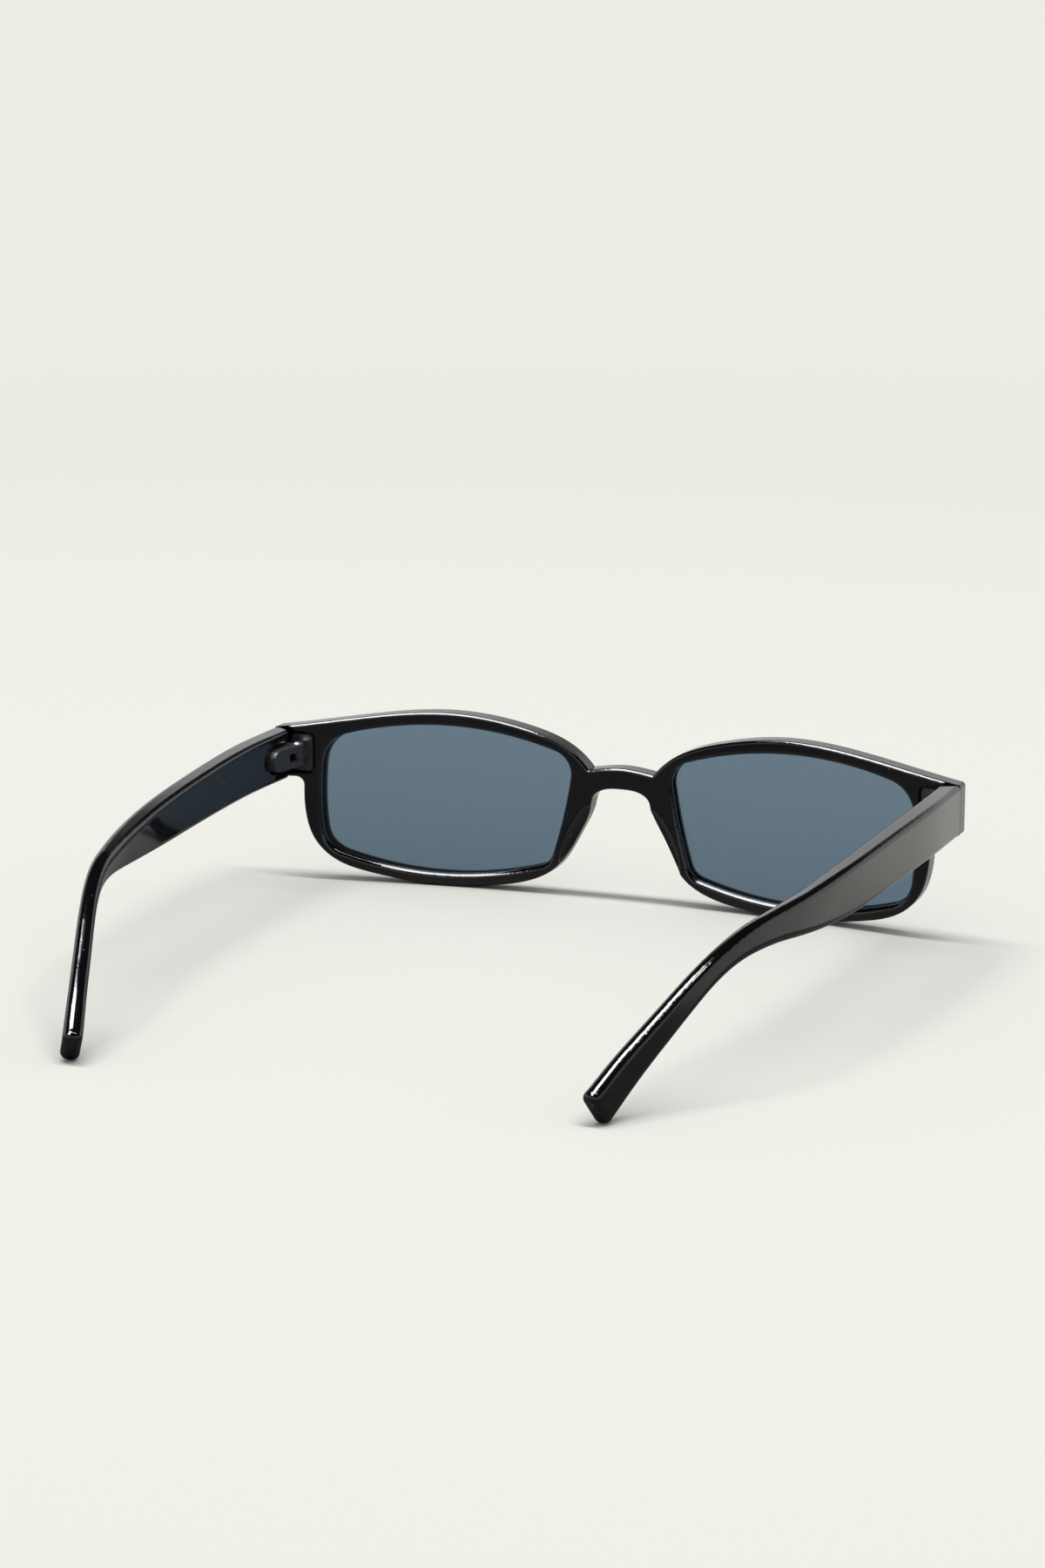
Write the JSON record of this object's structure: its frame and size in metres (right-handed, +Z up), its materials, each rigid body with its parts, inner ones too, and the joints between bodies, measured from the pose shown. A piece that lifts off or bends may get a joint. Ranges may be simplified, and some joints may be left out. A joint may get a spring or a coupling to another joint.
{
  "type": "sunglasses",
  "caption": "Narrow rectangle sunglasses: a gently curved moulded front with tinted lenses, and slim temples with bent-down tips that fold inwards on screw hinges.",
  "frame": {"origin": "middle of the box on the table: under the point halfway between the front's foremost face and the temple tips", "axes": "+X towards the wearer's left, +Y from the front of the glasses towards the temple tips, +Z up; the glasses stand open on their lower rims and temple tips"},
  "size_m": [0.1358, 0.1406, 0.0336],
  "materials": {
    "frame_plastic": "polished black",
    "temple_plastic": "polished black",
    "lens_tint": "clear smoke blue-grey tint",
    "hinge_leaf": "black coated, satin",
    "hinge_screw": "bright steel"
  },
  "bodies": {
    "front": {"front_frame": "frame_plastic", "left_lens": "lens_tint", "right_lens": "lens_tint", "left_front_hinge_leaf": "hinge_leaf", "right_front_hinge_leaf": "hinge_leaf"},
    "left_side": {"left_temple": "temple_plastic", "left_temple_hinge_leaf": "hinge_leaf", "left_hinge_screw": "hinge_screw"},
    "right_side": {"right_temple": "temple_plastic", "right_temple_hinge_leaf": "hinge_leaf", "right_hinge_screw": "hinge_screw"}
  },
  "joints": [
    {"name": "left_fold", "type": "hinge", "parent": "front", "child": "left_side", "pos_m": [0.0622, -0.05782, 0.02465], "axis": [0, 0, 1], "range_deg": [0, 82.5]},
    {"name": "right_fold", "type": "hinge", "parent": "front", "child": "right_side", "pos_m": [-0.0622, -0.05782, 0.02465], "axis": [0, 0, -1], "range_deg": [0, 74]}
  ]
}
